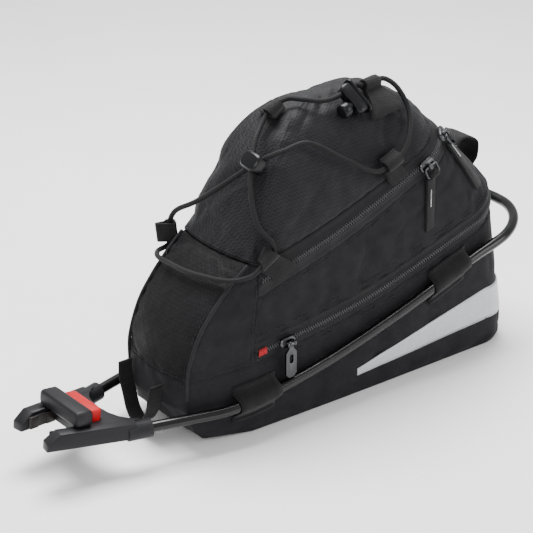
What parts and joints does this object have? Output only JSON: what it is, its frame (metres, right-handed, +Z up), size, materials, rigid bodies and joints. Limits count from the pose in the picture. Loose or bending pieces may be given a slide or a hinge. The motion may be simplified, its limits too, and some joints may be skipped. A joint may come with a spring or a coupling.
{
  "type": "bicycle saddle bag",
  "caption": "Wedge-shaped black fabric bag with a domed lid and bungee lacing, carried on a U-shaped rail with a fork-shaped quick-release adapter.",
  "frame": {"origin": "middle of the bag's flat base", "axes": "+X to the rear of the bicycle along the bag, -Y towards the side seen in the picture, +Z up from the base"},
  "size_m": [0.4442, 0.1134, 0.244],
  "materials": {
    "fabric": "woven nylon, slightly purple black",
    "ripstop": "coated ripstop weave, dark blue grey",
    "zip_tape": "coated zip tape with a coil",
    "piping": "smooth covered piping",
    "reflective": "silver reflective film",
    "rod": "gloss black steel rod",
    "plastic": "dark grey moulded nylon",
    "red_plastic": "red moulded plastic",
    "pad": "dark brown rubbery plastic",
    "webbing": "black woven webbing",
    "metal": "dark nickel",
    "cord": "black braided elastic cord"
  },
  "bodies": {
    "bag": {"base_section": "fabric", "middle_band": "fabric", "front_panel": "fabric", "front_side_near": "fabric", "front_side_far": "fabric", "lid_panel": "ripstop", "lower_zip": "zip_tape", "upper_zip": "zip_tape", "piping_near": "piping", "piping_far": "piping", "reflective_band": "reflective", "rail": "rod", "adapter_body": "plastic", "bridge_bar": "plastic", "crossing_clip": "plastic", "cord_lock_body": "plastic", "inner_pad_near": "pad", "inner_pad_far": "pad", "rail_loop_front_near": "webbing", "rail_loop_front_far": "webbing", "rail_loop_rear_near": "webbing", "rail_loop_rear_far": "webbing", "light_loop": "webbing", "front_strap": "webbing", "tab_front_near": "webbing", "tab_rear_near": "webbing", "tab_mid_far": "webbing", "rear_ribbon": "webbing", "tab_front_far": "webbing", "puller_tape_near": "webbing", "puller_tape_far": "webbing", "lower_zip_slider": "metal", "upper_zip_slider_near": "metal", "upper_zip_slider_far": "metal", "pull_ring_near": "metal", "pull_ring_far": "metal", "bungee_cord": "cord"},
    "release_button": {"release_button": "red_plastic"},
    "zip_pull": {"lower_zip_pull": "metal"},
    "lock_button": {"cord_lock_button": "plastic"}
  },
  "joints": [
    {"name": "release_button_press", "type": "slide", "parent": "bag", "child": "release_button", "axis": [-0.1045, 0, -0.9945], "range_m": [0, 0.0025], "stiffness_N_per_m": 400},
    {"name": "zip_pull_swing", "type": "hinge", "parent": "bag", "child": "zip_pull", "pos_m": [-0.07611, -0.05263, 0.0685], "axis": [-0.9999, 0.0149, 0], "range_deg": [0, 110]},
    {"name": "lock_button_press", "type": "slide", "parent": "bag", "child": "lock_button", "axis": [0.9691, 0.1392, 0.2039], "range_m": [0, 0.003], "stiffness_N_per_m": 400}
  ]
}
